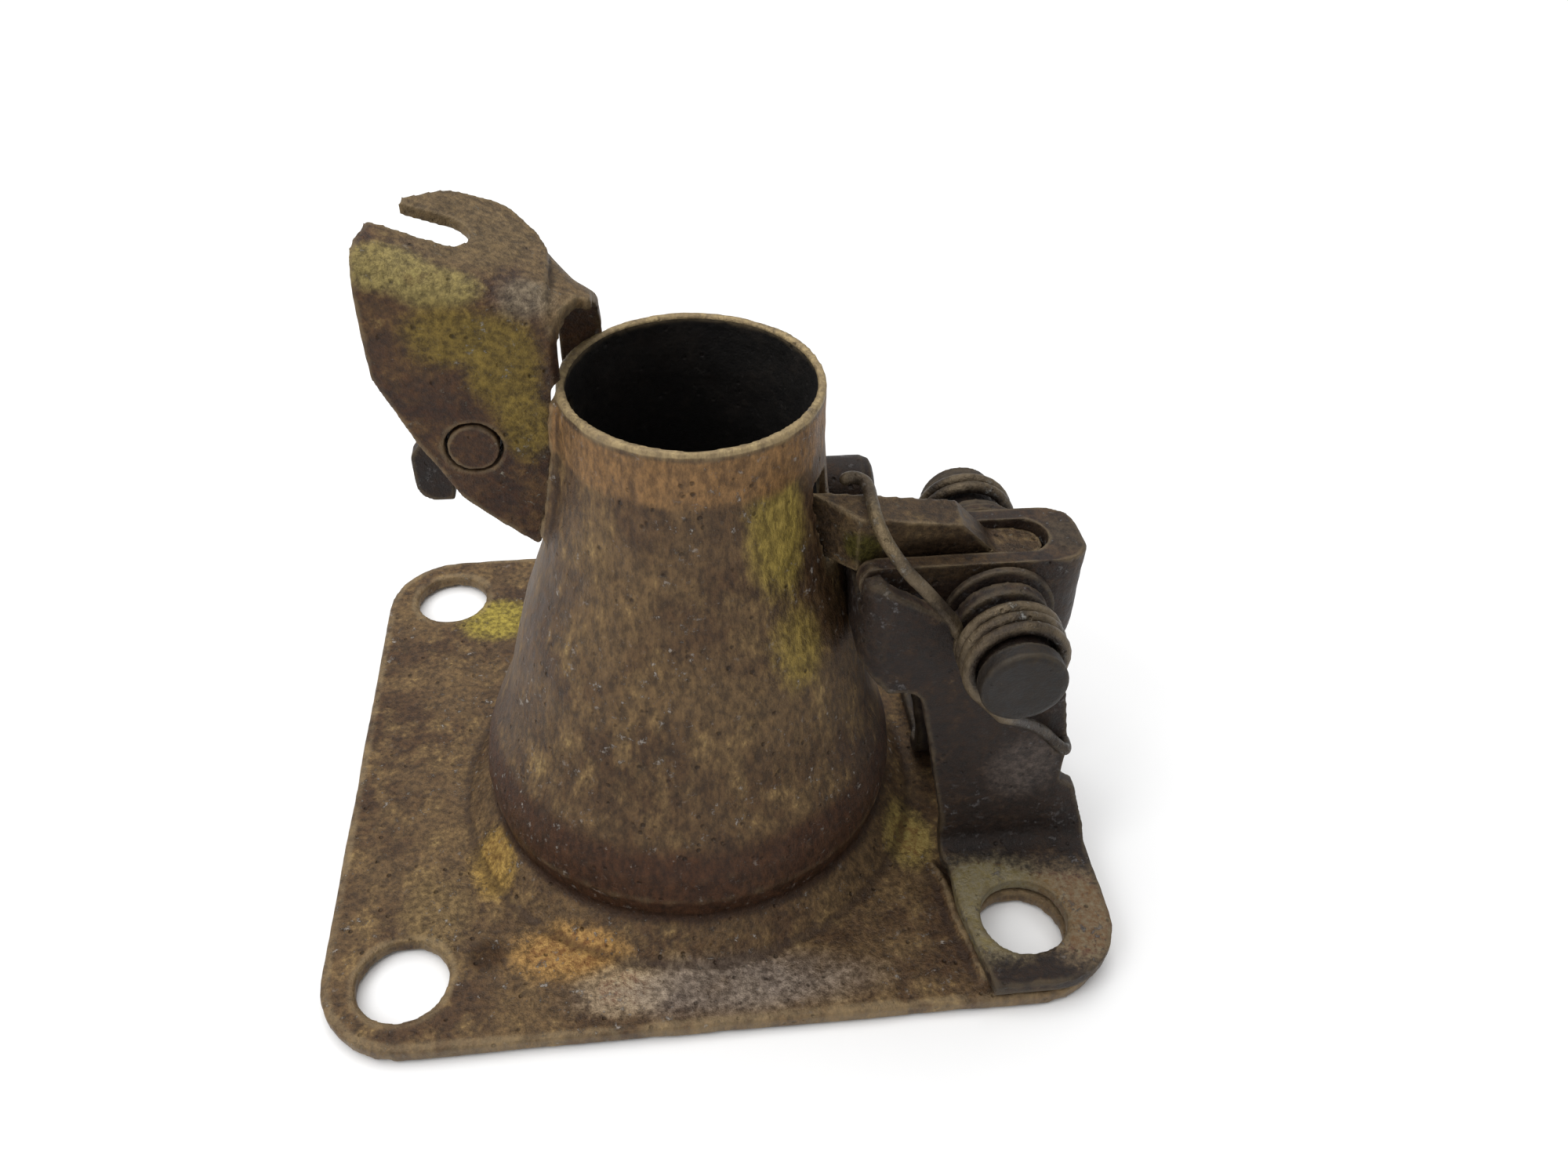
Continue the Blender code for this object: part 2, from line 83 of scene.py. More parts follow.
# ---------------------------------------------------------------- shader helpers
def tint(red, green, blue):
    """A screen colour, 0 to 255, as the linear colour that shaders take."""
    def channel(value):
        value /= 255
        return value / 12.92 if value <= 0.04045 else ((value + 0.055) / 1.055) ** 2.4
    return (channel(red), channel(green), channel(blue), 1.0)


class Shader:
    """A material under construction, with short calls that add and wire its nodes."""

    def __init__(self, name):
        self.material = bpy.data.materials.new(name)
        self.material.use_nodes = True
        self.tree = self.material.node_tree
        self.tree.nodes.clear()
        self.place = self.add("ShaderNodeTexCoord").outputs["Object"]
        self.seed = 0.0

    def add(self, kind, inputs=(), **settings):
        node = self.tree.nodes.new(kind)
        for key, value in settings.items():
            setattr(node, key, value)
        for key, value in inputs:
            if isinstance(value, bpy.types.NodeSocket):
                self.tree.links.new(value, node.inputs[key])
            else:
                node.inputs[key].default_value = value
        return node

    def math(self, operation, first, second=0.0, clamp=False):
        node = self.add("ShaderNodeMath", [(0, first), (1, second)], operation=operation,
                        use_clamp=clamp)
        return node.outputs[0]

    def shifted(self, stretch=(1, 1, 1)):
        """The place in the part, moved by a new offset for each texture and stretched."""
        self.seed += 0.37
        node = self.add("ShaderNodeMapping", [("Vector", self.place),
                                              ("Location", (self.seed, -self.seed, 0.5)),
                                              ("Scale", stretch)])
        return node.outputs[0]

    def noise(self, size_mm, detail=5.0, roughness=0.6, stretch=(1, 1, 1), warp=0.0):
        """Noise whose features are about size_mm across."""
        node = self.add("ShaderNodeTexNoise",
                        [("Vector", self.shifted(stretch)), ("Scale", 1000 / size_mm),
                         ("Detail", detail), ("Roughness", roughness),
                         ("Distortion", warp)])
        return node.outputs[0]

    def cells(self, size_mm):
        node = self.add("ShaderNodeTexVoronoi",
                        [("Vector", self.shifted()), ("Scale", 1000 / size_mm)])
        return node.outputs["Distance"]

    def step(self, value, low, high):
        """0 below low, 1 above high, smooth between; low may be above high."""
        node = self.add("ShaderNodeMapRange", [("Value", value), ("From Min", low),
                                               ("From Max", high)],
                        interpolation_type="SMOOTHSTEP")
        return node.outputs[0]

    def mix(self, share, first, second, blend="MIX"):
        node = self.add("ShaderNodeMix", data_type="RGBA", blend_type=blend)
        sockets = {s.identifier: s for s in node.inputs}
        for key, value in (("Factor_Float", share), ("A_Color", first),
                           ("B_Color", second)):
            if isinstance(value, bpy.types.NodeSocket):
                self.tree.links.new(value, sockets[key])
            else:
                sockets[key].default_value = value
        return next(s for s in node.outputs if s.identifier == "Result_Color")

    def near(self, centre, radii):
        """1 at centre (mm), falling to 0 at an ellipsoid of those radii (mm)."""
        scale = tuple(1000 / r for r in radii)
        moved = self.add("ShaderNodeVectorMath",
                         [(0, self.place), (1, tuple(c * MM for c in centre))],
                         operation="SUBTRACT").outputs[0]
        scaled = self.add("ShaderNodeVectorMath", [(0, moved), (1, scale)],
                          operation="MULTIPLY").outputs[0]
        length = self.add("ShaderNodeVectorMath", [(0, scaled)],
                          operation="LENGTH").outputs["Value"]
        return self.step(length, 1.0, 0.25)

    def height(self, low, high):
        """0 below low and 1 above high, in millimetres of Z."""
        split = self.add("ShaderNodeSeparateXYZ", [("Vector", self.place)])
        return self.step(split.outputs["Z"], low * MM, high * MM)

    def surface(self, inputs):
        """Ends the material in a Principled shader and returns it."""
        shader = self.add("ShaderNodeBsdfPrincipled", inputs)
        out = self.add("ShaderNodeOutputMaterial")
        self.tree.links.new(shader.outputs[0], out.inputs["Surface"])
        return self.material

    def wear(self):
        """The mesh's own measure of how sharply it stands out: 0 hollow, 0.5 flat, 1 edge."""
        return self.add("ShaderNodeAttribute", attribute_name="wear").outputs["Fac"]


def speckled(s, mask, grain, softness):
    """A mask broken up by a grain, so that its border is ragged."""
    return s.step(s.math("ADD", mask, grain), 1.0 - softness, 1.0 + softness)


def plating_and_painted_light(s, colour, blotch, fine, patches):
    """Lays the colour patches over the rust: plating, and on some parts painted highlights and painted
    shade; also gives the mask of all of them.
    """
    covered = 0.0
    grain = s.math("MULTIPLY", s.math("ADD", s.math("MULTIPLY", blotch, 1.3), fine), 0.5)
    for patch_colour, centre, radii, strength in patches:
        mask = s.math("MULTIPLY", s.near(centre, radii), strength)
        ragged = speckled(s, mask, grain, 0.34)
        colour = s.mix(s.math("MULTIPLY", ragged, 0.85), colour, patch_colour)
        covered = s.math("MAXIMUM", covered, ragged)
    return colour, covered


def banded(s, colour, broad, blotch, bands):
    """Lays level bands over the rust, discoloration and painted shade, each fading in over low and out
    over high.
    """
    grain = s.math("MULTIPLY", s.math("ADD", broad, blotch), 0.55)
    for band_colour, low, high, strength in bands:
        falling = s.math("SUBTRACT", 1.0, s.height(*high))
        mask = s.math("MULTIPLY", s.math("MULTIPLY", s.height(*low), falling), strength)
        colour = s.mix(speckled(s, mask, grain, 0.2), colour, band_colour)
    return colour


def crust_mask(s, share):
    """Small pale specks that gather in clouds; a higher share leaves fewer of them."""
    specks = s.step(s.noise(1.3, 6.0, 0.75), share, share + 0.07)
    return s.math("MULTIPLY", specks, s.step(s.noise(11.0, 3.0), 0.42, 0.62))


def pit_mask(s):
    pits = s.step(s.cells(1.7), 0.24, 0.08)
    return s.math("MULTIPLY", pits, s.step(s.noise(3.2, 3.0), 0.47, 0.6))


def worn_edges(s, colour, blotch):
    """Dark rust in the hollows and bare metal along the edges."""
    worn = s.wear()
    hollow = s.step(worn, 0.46, 0.28)
    colour = s.mix(s.math("MULTIPLY", hollow, 0.6), colour, HOLLOW_RUST)
    edge = s.math("MULTIPLY", s.step(worn, 0.56, 0.8), s.step(blotch, 0.3, 0.6))
    return s.mix(s.math("MULTIPLY", edge, 0.45), colour, BARE_EDGE)


def relief_normal(s, blotch, fine, grit, pits, crust, relief):
    """The bumps of the rust: raised crust, sunken pits and three sizes of grain."""
    levels = s.math("ADD", s.math("MULTIPLY", fine, 0.5), s.math("MULTIPLY", blotch, 0.9))
    levels = s.math("ADD", levels, s.math("MULTIPLY", grit, 0.22))
    levels = s.math("SUBTRACT", levels, s.math("MULTIPLY", pits, 0.5))
    levels = s.math("ADD", levels, s.math("MULTIPLY", crust, 0.25))
    raised = s.add("ShaderNodeBump", [("Height", levels), ("Strength", 0.9),
                                      ("Distance", BUMP_DEPTH * MM * relief)])
    return raised.outputs[0]


def weathered(name, dark, middle, light, oxide, patches=(), bands=(), streak=1.0,
              metallic=0.45, roughness=0.5, oxide_share=0.585, relief=1.0, albedo=0.5):
    """Rusted steel: three browns, colour patches and level bands (plating and discoloration, and on
    some parts painted highlight and painted shade), oxide crust, pits and worn edges.

    patches holds (colour, centre, radii, strength) and bands (colour, low, high, strength).
    Sizes are in millimetres. A streak under 1 draws the grain out along Z.
    """
    s = Shader(name)
    broad = s.noise(17.0, 4.0, 0.6, warp=0.4)
    blotch = s.noise(4.5, 6.0, 0.65, stretch=(1, 1, streak))
    fine = s.noise(0.9, 5.0, 0.7, stretch=(1, 1, streak))
    grit = s.noise(0.28, 3.0, 0.7)
    crust = crust_mask(s, oxide_share)
    pits = pit_mask(s)

    colour = s.mix(s.step(broad, 0.38, 0.64), dark, middle)
    colour = s.mix(s.step(blotch, 0.46, 0.66), colour, light)
    colour, covered = plating_and_painted_light(s, colour, blotch, fine, patches)
    colour = banded(s, colour, broad, blotch, bands)
    grain_shade = s.mix(s.step(fine, 0.3, 0.75), GRAIN_DARK, GRAIN_LIGHT)
    colour = s.mix(0.8, colour, grain_shade, "OVERLAY")
    colour = s.mix(s.math("MULTIPLY", crust, 0.9), colour, oxide)
    colour = s.mix(s.math("MULTIPLY", pits, 0.62), colour, PIT_DARK)
    colour = worn_edges(s, colour, blotch)
    warm_albedo = (albedo, albedo * 0.93, albedo * 0.8, 1.0)
    colour = s.mix(1.0, colour, warm_albedo, "MULTIPLY")

    rough = s.step(s.math("ADD", s.math("MULTIPLY", blotch, 0.6),
                          s.math("MULTIPLY", fine, 0.4)), 0.3, 0.7)
    rough = s.math("ADD", s.math("MULTIPLY", rough, 0.24), roughness - 0.1)
    rough = s.math("ADD", rough, s.math("MULTIPLY", crust, 0.2), clamp=True)
    metal = s.math("ADD", s.math("MULTIPLY", covered, 0.25), metallic)
    metal = s.math("SUBTRACT", metal, s.math("MULTIPLY", crust, 0.35), clamp=True)
    normal = relief_normal(s, blotch, fine, grit, pits, crust, relief)
    return s.surface([("Base Color", colour), ("Metallic", metal), ("Roughness", rough),
                      ("Normal", normal)])


# ---------------------------------------------------------------- finishes
GRAIN_DARK = tint(98, 90, 84)
GRAIN_LIGHT = tint(226, 222, 214)
PIT_DARK = tint(38, 27, 20)
HOLLOW_RUST = tint(52, 34, 23)
BARE_EDGE = tint(176, 158, 128)
BUMP_DEPTH = 0.52


def turret_finish():
    zinc = tint(196, 186, 96)
    return weathered(
        "rusted_zinc", tint(92, 70, 50), tint(122, 101, 74), tint(142, 120, 88),
        tint(186, 182, 184), streak=0.45, metallic=0.42, roughness=0.52, albedo=0.72,
        patches=[
            (zinc, (-34.9, 32.5, 2.4), (10, 8, 5), 0.75),
            (tint(200, 172, 104), (-31.9, -21.7, 3.6), (6, 8, 6), 0.85),
            (tint(204, 168, 112), (-21.0, -36.5, 2.4), (13, 7, 4), 0.85),
            (tint(214, 196, 168), (-13.4, -43.2, 2.4), (9, 6, 3), 0.75),
            (tint(206, 190, 124), (28.6, -21.4, 3.0), (6, 9, 5), 0.8),
            (tint(72, 52, 36), (-32.2, -36.3, 2.4), (4.5, 4, 3), 0.7),
            (tint(186, 172, 96), (9.5, -22.0, 62.0), (8, 7, 15), 0.78),
            (tint(176, 160, 92), (11.0, -24.0, 45.0), (7, 7, 10), 0.62),
            (tint(176, 170, 172), (0.0, -44.0, 2.4), (32, 7, 4), 0.5),
            (tint(150, 132, 100), (-40.0, -30.0, 2.4), (9, 14, 4), 0.6),
        ],
        bands=[
            # Painted shade: a dark band round the cone's foot, where the concave fillet into the
            # flange falls in shade.
            (tint(84, 56, 38), (4.0, 7.5), (17.0, 24.0), 0.62),
            (tint(156, 124, 86), (64.0, 68.0), (72.5, 73.6), 0.6),
            (tint(188, 174, 140), (73.0, 73.9), (90.0, 91.0), 0.95),
        ])


# Painted shade: near-black colours for the cone's inner wall, standing for the shade inside the
# hollow.
def inside_painted_shade():
    return weathered("turret_inside_shade", tint(24, 20, 18), tint(36, 30, 27), tint(48, 42, 38),
                     tint(70, 66, 64), metallic=0.2, roughness=0.7, albedo=0.5)


def bracket_finish():
    bend_highlight = tint(196, 186, 128)
    green = tint(168, 150, 80)
    return weathered(
        "bracket_zinc", tint(84, 54, 34), tint(104, 74, 48), tint(130, 100, 66),
        tint(190, 186, 178), metallic=0.28, roughness=0.55, albedo=0.52,
        patches=[
            (tint(160, 142, 112), (-26.0, 6.0, 89.0), (19, 17, 7), 0.95),
            (tint(160, 140, 110), (-14.5, -1.0, 84.0), (9, 13, 9), 0.95),
            # Painted highlight: pale yellow patches along the bracket's top front bend.
            (bend_highlight, (-34.0, -6.6, 89.5), (8, 5, 4), 0.85),
            (bend_highlight, (-28.5, -7.4, 87.2), (8, 4, 3.5), 0.85),
            (green, (-28.5, -8.5, 81.5), (8, 4, 6), 0.72),
            (green, (-22.6, -8.5, 77.5), (7, 4, 10), 0.85),
            (green, (-21.0, -8.5, 69.5), (5, 4, 8), 0.75),
            (tint(168, 160, 148), (-19.5, -6.0, 85.0), (6, 5, 4), 0.6),
        ])


def latch_finish():
    return weathered(
        "brown_oxide", tint(60, 38, 26), tint(78, 54, 38), tint(104, 78, 57),
        tint(178, 176, 186), metallic=0.15, roughness=0.62, oxide_share=0.56, albedo=0.27,
        patches=[
            (tint(255, 246, 214), (38.0, -37.0, 5.0), (15, 12, 5), 1.05),
            (tint(236, 214, 186), (49.0, -39.0, 5.0), (10, 13, 5), 0.85),
            (tint(178, 168, 172), (43.0, -25.5, 21.0), (8, 5, 10), 0.6),
            (tint(206, 190, 158), (40.0, 40.0, 5.0), (15, 11, 5), 0.7),
        ])


def fork_finish():
    return weathered("fork_oxide", tint(64, 43, 30), tint(84, 62, 46), tint(110, 88, 68),
                     tint(172, 172, 180), metallic=0.2, roughness=0.58, albedo=0.42,
                     patches=[(tint(112, 102, 92), (46.0, -16.0, 54.9), (5, 6, 5), 0.6),
                              (tint(104, 84, 58), (30.0, -20.5, 54.0), (14, 2.4, 3), 0.7)])


def bar_finish():
    return weathered("worn_bar", tint(92, 74, 56), tint(118, 98, 72), tint(142, 122, 92),
                     tint(150, 146, 138), metallic=0.5, roughness=0.44, albedo=0.5,
                     patches=[(tint(112, 112, 52), (19.0, -18.0, 56.0), (4, 3, 3.5), 0.85),
                              # Painted shade: a dark strip over the bar's front face, standing for the
                              # shade on that vertical face.
                              (tint(74, 58, 44), (30.0, -18.5, 55.0), (14, 1.4, 3.4), 0.8)])


def spring_finish():
    return weathered("spring_wire", tint(66, 55, 46), tint(92, 82, 74), tint(122, 116, 112),
                     tint(172, 178, 186), metallic=0.5, roughness=0.42, oxide_share=0.57,
                     albedo=0.5,
                     # Painted highlight: a pale patch on the top of the hook and the start of its leg.
                     patches=[(tint(152, 142, 122), (20.5, -21.0, 61.2), (4, 8, 4), 0.8)])


def pin_finish():
    return weathered("pin_head", tint(54, 40, 27), tint(74, 57, 40), tint(96, 78, 56),
                     tint(160, 146, 118), metallic=0.15, roughness=0.6, oxide_share=0.64,
                     relief=0.7, albedo=0.15)


# ---------------------------------------------------------------- mesh helpers
# Shares of the way to its neighbours that a point moves, then moves back, so that little shrinks
SMOOTH_IN = 0.6
SMOOTH_OUT = 0.55


def cone_centre(height):
    """Where the leaning cone's axis is at a height, in millimetres."""
    return CONE_X + CONE_LEAN * (height - CONE_FOOT), CONE_Y


def cone_radius(height):
    """The cone's outer radius at a height, in millimetres."""
    heights = [z for _, z in CONE_PROFILE]
    radii = [r for r, _ in CONE_PROFILE]
    return float(np.interp(height, heights, radii))


def points_of(mesh):
    """The mesh's vertices as rows of X, Y and Z in metres."""
    flat = np.zeros(len(mesh.vertices) * 3)
    mesh.vertices.foreach_get("co", flat)
    return flat.reshape(-1, 3)


def neighbours_mean(points, edges, count):
    """Each point's neighbours, averaged."""
    total = np.empty_like(points)
    for axis in range(3):
        ahead = np.bincount(edges[:, 0], points[edges[:, 1], axis], len(points))
        behind = np.bincount(edges[:, 1], points[edges[:, 0], axis], len(points))
        total[:, axis] = (ahead + behind) / count
    return total


def link(name, mesh):
    item = bpy.data.objects.new(name, mesh)
    bpy.context.scene.collection.objects.link(item)
    return item


def merged(name, meshes):
    """One object holding the faces of several closed meshes."""
    bm = bmesh.new()
    for mesh in meshes:
        bm.from_mesh(mesh)
    result = bpy.data.meshes.new(name)
    bm.to_mesh(result)
    bm.free()
    return link(name, result)


def refine(item, voxel):
    """Turns overlapping solids into one fine skin."""
    remesh = item.modifiers.new("fine", "REMESH")
    remesh.mode = "VOXEL"
    remesh.voxel_size = voxel * MM
    bpy.context.view_layer.update()
    depsgraph = bpy.context.evaluated_depsgraph_get()
    skin = bpy.data.meshes.new_from_object(item.evaluated_get(depsgraph))
    item.modifiers.clear()
    item.data = skin
    skin.name = item.name


def settle(item, rounds, dent=0.0, dent_size=9.0, pit=0.0, pit_size=1.6, seed=0.0):
    """Smooths the skin, presses shallow dents into it and stores its edge wear."""
    mesh = item.data
    points = points_of(mesh)
    lowest, highest = points.min(0), points.max(0)
    edges = np.zeros(len(mesh.edges) * 2, np.int64)
    mesh.edges.foreach_get("vertices", edges)
    edges = edges.reshape(-1, 2)
    count = np.maximum(np.bincount(edges.ravel(), minlength=len(points)), 1)
    for _ in range(rounds):
        points = points + SMOOTH_IN * (neighbours_mean(points, edges, count) - points)
        points = points - SMOOTH_OUT * (neighbours_mean(points, edges, count) - points)
    mesh.vertices.foreach_set("co", points.ravel())
    mesh.update()
    normals = np.array([v.normal for v in mesh.vertices])
    if dent or pit:
        depth = np.array([surface_depth(Vector(p) / MM, dent, dent_size, pit, pit_size, seed)
                          for p in points])
        points = points - normals * depth[:, None] * MM
    spread = points.copy()
    for _ in range(3):
        spread = neighbours_mean(spread, edges, count)
    stands = ((points - spread) * normals).sum(1) / MM
    for _ in range(2):
        stands = neighbours_mean(np.stack([stands] * 3, 1), edges, count)[:, 0]
    scale = np.percentile(np.abs(stands), 99) or 1.0
    wear = np.clip(0.5 + 0.5 * stands / scale, 0, 1)
    points = np.clip(points, lowest, highest)
    mesh.vertices.foreach_set("co", points.ravel())
    mesh.attributes.new("wear", "FLOAT", "POINT").data.foreach_set("value", wear)
    mesh.polygons.foreach_set("use_smooth", [True] * len(mesh.polygons))
    mesh.update()


def surface_depth(place, dent, dent_size, pit, pit_size, seed):
    """How far the surface is pressed in at a place, in millimetres and never outwards."""
    shift = Vector((seed, 2 * seed, 3 * seed))
    wide = noise.noise(place / dent_size + shift)
    small = noise.noise(place / pit_size + shift)
    spot = noise.noise(place / (pit_size * 2.7) - shift)
    hole = max(0.0, spot - 0.18) * 2.2
    return dent * (0.5 + wide) + pit * (0.5 + small) + pit * 2.0 * hole


def finish_piece(item, body, material, nodes):
    """Gives a piece its material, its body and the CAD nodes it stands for."""
    item.data.materials.clear()
    item.data.materials.append(material)
    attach(item, body)
    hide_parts(*nodes)
    return item


def skinned(name, rings):
    """A closed solid through rings of points, in millimetres, with flat ends."""
    bm = bmesh.new()
    made = [[bm.verts.new(Vector(point) * MM) for point in ring] for ring in rings]
    for first, second in zip(made, made[1:]):
        for j in range(len(first)):
            k = (j + 1) % len(first)
            bm.faces.new((first[j], first[k], second[k], second[j]))
    bm.faces.new(made[0][::-1])
    bm.faces.new(made[-1])
    bmesh.ops.recalc_face_normals(bm, faces=bm.faces)
    mesh = bpy.data.meshes.new(name)
    bm.to_mesh(mesh)
    bm.free()
    return mesh


def tube_mesh(name, path, radii, sides=14):
    """A closed tube along path, in millimetres, with a radius at each point."""
    points = [Vector(p) for p in path]
    rings = []
    up = None
    for i, point in enumerate(points):
        ahead = points[min(i + 1, len(points) - 1)]
        behind = points[max(i - 1, 0)]
        along = (ahead - behind).normalized()
        if up is None:
            up = along.orthogonal().normalized()
        up = (up - along * up.dot(along)).normalized()
        side = along.cross(up)
        angles = [math.tau * j / sides for j in range(sides)]
        rings.append([point + (up * math.cos(t) + side * math.sin(t)) * radii[i]
                      for t in angles])
    return skinned(name, rings)


def smooth_path(points, steps=6):
    """A Catmull-Rom curve through points."""
    points = [Vector(p) for p in points]
    padded = [points[0] * 2 - points[1]] + points + [points[-1] * 2 - points[-2]]
    result = []
    for a, b, c, d in zip(padded, padded[1:], padded[2:], padded[3:]):
        for k in range(steps):
            t = k / steps
            result.append(0.5 * ((2 * b) + (c - a) * t + (2 * a - 5 * b + 4 * c - d) * t * t
                                 + (3 * b - a - 3 * c + d) * t ** 3))
    return result + [points[-1]]


def domed(count, radius):
    """Radii along a tube that close in smoothly at both ends."""
    radii = [radius] * count
    for k, share in enumerate((0.45, 0.78, 0.94)):
        radii[k] = radii[-1 - k] = radius * share
    return radii


def bead(name, points, radius, seed):
    """A weld bead: a lumpy tube whose thickness ripples along the seam."""
    path = smooth_path(points, 8)
    radii = domed(len(path), radius)
    radii = [r * (1 + 0.14 * math.sin(1.9 * i) + 0.3 * noise.noise(Vector((seed, i * 0.31, 0))))
             for i, r in enumerate(radii)]
    return tube_mesh(name, path, radii)


# ---------------------------------------------------------------- turret body
def wall_seam():
    """The weld where the cable bracket's wall meets the cone."""
    points = []
    for height in np.linspace(52.5, 73.0, 9):
        centre_x, centre_y = cone_centre(height)
        across = WALL_SEAM_Y - centre_y
        reach = math.sqrt(cone_radius(height) ** 2 - across ** 2)
        points.append((centre_x - reach - 0.1, WALL_SEAM_Y, height))
    return points


def foot_seams():
    """The welds along the two feet's inner edges on the flange."""
    front = [(31.4, -27.0, 3.0), (32.5, -31.0, 2.9), (32.9, -35.9, 2.8),
             (34.0, -41.5, 2.8), (34.9, -47.0, 2.7)]
    rear = [(31.4, 13.0, 3.0), (32.8, 30.0, 2.9), (34.0, 41.0, 2.8)]
    return front, rear


def paint_inside_shade(shell, inside):
    """Gives the cone's inner wall a near-black material: painted shade of the hollow."""
    shell.data.materials.append(inside)
    for face in shell.data.polygons:
        x, y, z = (c / MM for c in face.center)
        if z < INSIDE_FROM or z > RIM_TOP - LIP:
            continue
        centre_x, centre_y = cone_centre(z)
        out = Vector((x - centre_x, y - centre_y, 0.0))
        if out.length < cone_radius(z) - WALL_MIDDLE and out.dot(face.normal) < 0:
            face.material_index = 1


def turret_shell(frame, finish, inside):
    """Flange, cone and welds as one skin."""
    front_seam, rear_seam = foot_seams()
    welds = [bead("wall_weld", wall_seam(), 0.9, 1.7),
             bead("foot_weld", front_seam, 0.65, 4.1),
             bead("rear_foot_weld", rear_seam, 0.95, 7.3)]
    shell = merged("turret_shell", [frame["nodes"]["turret_body"].data] + welds)
    refine(shell, 0.5)
    settle(shell, 4, dent=0.16, dent_size=11.0, pit=0.05, seed=2.0)
    finish_piece(shell, "turret", finish, ["turret_body"])
    paint_inside_shade(shell, inside)


# ---------------------------------------------------------------- springs
COIL_STEP = 12  # degrees between two points of a coil


def coil_points(front, direction, start, end):
    """A helix round the latch pin from angle start to end, advancing along Y."""
    points = []
    for angle in range(start, end + 1, COIL_STEP):
        turned = math.radians(angle)
        y = front + direction * COIL_PITCH * (angle - start) / 360
        points.append((FORK_AXIS[0] + COIL_RADIUS * math.cos(turned), y,
                       FORK_AXIS[1] + COIL_RADIUS * math.sin(turned)))
    return points


def wire_piece(name, path, body, finish, node):
    """Spring wire along path, slightly uneven, standing for a CAD spring."""
    mesh = tube_mesh(name, path, domed(len(path), WIRE_RADIUS), 18)
    item = link(name, mesh)
    settle(item, 0, dent=0.03, dent_size=3.0, pit=0.03, pit_size=1.1, seed=5.0)
    return finish_piece(item, body, finish, [node])


def front_spring(finish):
    """The coil and outer leg stay with the turret; the hook and its leg go with the fork."""
    hook = smooth_path([(16.9, -11.6, 61.2), (18.0, -11.2, 61.6), (19.3, -11.9, 61.8),
                        (19.95, -13.6, 61.9), (19.95, -17.2, 61.9), (20.0, -20.6, 61.7),
                        (20.9, -23.2, 60.4), (22.9, -25.6, 58.1), (25.2, COIL_Y, 55.8),
                        (27.4, COIL_Y, 52.9), (29.3, COIL_Y, 50.3),
                        (30.15, COIL_Y, 47.6)], 5)
    front = COIL_Y - COIL_PITCH * (COIL_END - COIL_START) / 360
    tail = smooth_path([(35.9, front + 0.6, 38.2), (38.6, front + 2.4, 35.4),
                        (41.3, front + 4.2, 32.5), (44.2, COIL_Y - 0.2, 29.3),
                        (46.4, COIL_Y, 26.6), (47.6, COIL_Y, 25.5),
                        (48.1, COIL_Y + 1.0, 25.1), (48.1, COIL_Y + 3.4, 25.1)], 5)
    turns = coil_points(COIL_Y, -1, COIL_START - 20, COIL_END)
    wire_piece("front_spring_coil", turns + tail, "turret", finish, "front_spring")
    wire_piece("front_spring_hook", hook, "fork", finish, "front_spring")


def rear_spring(finish):
    """The shorter spring behind the rear cheek."""
    front = CHEEK_REAR + GAP + WIRE_RADIUS
    hook = smooth_path([(26.2, -8.8, 52.9), (26.4, -6.4, 52.8), (27.0, front, 51.9),
                        (29.0, front, 49.3)], 5)
    turns = coil_points(front, 1, COIL_START, COIL_END - 360)
    end = front + COIL_PITCH * (COIL_END - 360 - COIL_START) / 360
    tail = smooth_path([(36.4, end - 0.3, 38.6), (40.5, end - 1.6, 34.0),
                        (44.4, end - 2.8, 29.5)], 5)
    wire_piece("rear_spring_wire", hook + turns + tail, "turret", finish, "rear_spring")


# ---------------------------------------------------------------- other pieces
SMALL = 0.22  # voxel for pins, washers and bushes, in millimetres


def aged_copy(frame, node, body, finish, voxel, rounds=3, dent=0.06, pit=0.03,
              seed=1.0):
    """A CAD node as a worn solid: rounded edges, shallow dents and pits."""
    item = merged(node + "_aged", [frame["nodes"][node].data])
    refine(item, voxel)
    settle(item, rounds, dent=dent, dent_size=6.0, pit=pit, pit_size=1.4, seed=seed)
    return finish_piece(item, body, finish, [node])


def mechanism(frame, latch, fork, bar, pin):
    """The latch bracket, its pin with what is stacked on it, the fork and the bar."""
    aged_copy(frame, "latch_bracket", "turret", latch, 0.38, 4, 0.12, 0.05, 3.0)
    aged_copy(frame, "release_fork", "fork", fork, 0.28, 4, 0.08, 0.04, 4.0)
    aged_copy(frame, "latch_bar", "fork", bar, 0.26, 4, 0.08, 0.04, 5.0)
    aged_copy(frame, "pivot_pin", "turret", pin, SMALL, 3, 0.06, 0.03, 6.0)
    for node in ("front_washer", "rear_washer", "front_spring_bush", "rear_spring_bush",
                 "retainer_washer", "pin_retainer", "rear_stop_stub"):
        aged_copy(frame, node, "turret", latch, SMALL, 2, 0.04, 0.03, 7.0)
    aged_copy(frame, "fork_bush", "fork", latch, SMALL, 2, 0.04, 0.03, 8.0)


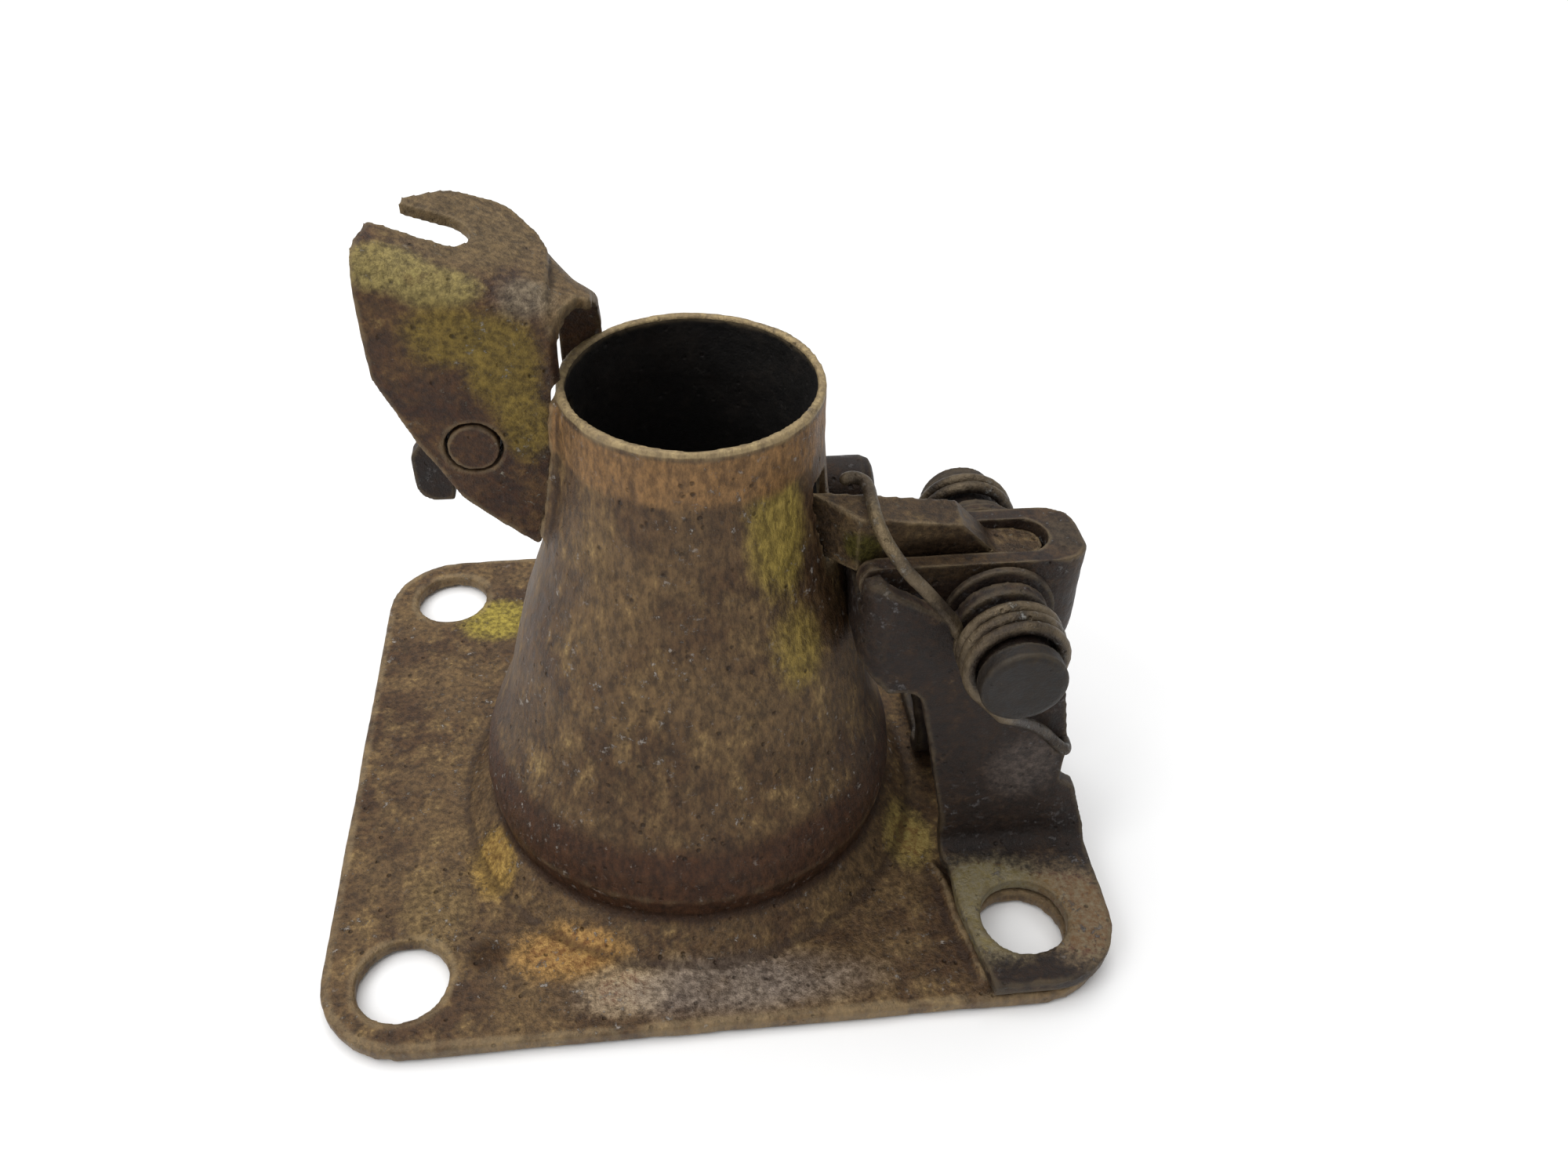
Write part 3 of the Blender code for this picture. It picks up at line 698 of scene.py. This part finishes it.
def rolled_corner():
    """The bracket's rear right corner, rolled down ever further into the rear leg."""
    # X, where the roll starts in Y, its radius, how far it turns, and the flat before it
    stations = [(-22.5, 9.4, 2.6, 20, 5.0), (-20.5, 8.0, 4.0, 48, 5.0),
                (-18.6, 5.4, 5.5, 72, 5.0), (-16.8, 2.2, 7.0, 90, 5.0),
                (-14.6, -1.2, 8.4, 90, 2.0), (-12.4, -3.1, 9.6, 90, 0.3)]
    steps = 10
    rings = []
    for x, start, radius, sweep, lead in stations:
        fade = min(1.0, max(0.0, (ARCH_START - x) / ARCH_FADE))
        rise = BRACKET_RISE * (start - BRACKET_FRONT) * fade
        top = BRACKET_TOP[1] - BRACKET_SLOPE * (x - BRACKET_TOP[0]) + rise
        outer = [(radius, math.radians(sweep * k / steps)) for k in range(steps + 1)]
        inner = [(radius - BRACKET_SHEET, angle) for _, angle in reversed(outer)]
        ring = [(x, start + r * math.sin(angle), top - radius + r * math.cos(angle))
                for r, angle in outer + inner]
        front = start - lead
        front_top = top - BRACKET_RISE * lead
        rings.append([(x, front, front_top)] + ring
                     + [(x, front, front_top - BRACKET_SHEET)])
    return skinned("rolled_corner", rings)


def cable_parts(frame, bracket, latch):
    """The cable bracket with its rolled corner, and the small lever on its back."""
    sheet = merged("cable_bracket_aged", [frame["nodes"]["cable_bracket"].data,
                                          rolled_corner()])
    refine(sheet, 0.3)
    settle(sheet, 5, dent=0.1, dent_size=6.0, pit=0.04, pit_size=1.4, seed=9.0)
    finish_piece(sheet, "turret", bracket, ["cable_bracket"])
    aged_copy(frame, "cable_lever_pin", "turret", bracket, SMALL, 2, 0.05, 0.03)
    for node in ("cable_lever_washer", "cable_lever_clip"):
        aged_copy(frame, node, "turret", latch, SMALL, 2, 0.03, 0.02)
    aged_copy(frame, "cable_lever", "cable_lever", latch, 0.25, 3, 0.05, 0.03)


# ---------------------------------------------------------------- stage
PART_MIDDLE = 0.03
CAMERA_PLACE = Vector((-0.00685, -0.13618, 0.15221))


def floor_and_light():
    """A wide pale floor under an overhead softbox, with a weak key from the front left."""
    bpy.ops.mesh.primitive_plane_add(size=6.0, location=(0, 0, -0.0005))
    floor = bpy.context.object
    floor.name = "floor"
    pale = Shader("pale_floor").surface([("Base Color", (0.93, 0.93, 0.93, 1)),
                                         ("Roughness", 0.9)])
    floor.data.materials.append(pale)
    world = bpy.data.worlds.new("studio")
    bpy.context.scene.world = world
    world.use_nodes = True
    world.node_tree.nodes["Background"].inputs["Color"].default_value = (1, 1, 1, 1)
    world.node_tree.nodes["Background"].inputs["Strength"].default_value = 0.42
    soft_light("overhead", (-0.3, 0.5, 2.4), 3.0, 62.0)
    soft_light("key", (-0.45, -0.30, 0.55), 0.35, 1.6)


def soft_light(name, place, size, power):
    """A square area lamp aimed at the part's middle, in metres and watts."""
    data = bpy.data.lights.new(name, "AREA")
    data.size = size
    data.energy = power
    lamp = bpy.data.objects.new(name, data)
    bpy.context.scene.collection.objects.link(lamp)
    lamp.location = place
    aim = Vector((0, 0, PART_MIDDLE)) - Vector(place)
    lamp.rotation_euler = aim.to_track_quat("-Z", "Y").to_euler()


def camera():
    """Looks along +Y, turned a little to the right and well down onto the part."""
    turn, down, roll = 0.1362, 0.7091, 0.0347
    ahead = Vector((math.sin(turn) * math.cos(down), math.cos(turn) * math.cos(down),
                    -math.sin(down)))
    level = Vector((math.cos(turn), -math.sin(turn), 0.0))
    above = level.cross(ahead)
    right = math.cos(roll) * level + math.sin(roll) * above
    up = -math.sin(roll) * level + math.cos(roll) * above
    data = bpy.data.cameras.new("camera")
    data.sensor_width = 36.0
    data.lens = 28.58
    data.clip_start = 0.01
    item = bpy.data.objects.new("camera", data)
    bpy.context.scene.collection.objects.link(item)
    turned = Matrix((right, up, -ahead)).transposed().to_4x4()
    item.matrix_world = Matrix.Translation(CAMERA_PLACE) @ turned
    bpy.context.scene.camera = item


def main():
    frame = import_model()
    latch = latch_finish()
    spring = spring_finish()
    turret_shell(frame, turret_finish(), inside_painted_shade())
    mechanism(frame, latch, fork_finish(), bar_finish(), pin_finish())
    front_spring(spring)
    rear_spring(spring)
    cable_parts(frame, bracket_finish(), latch)
    floor_and_light()
    camera()
    bpy.context.scene.view_settings.view_transform = "Standard"


main()
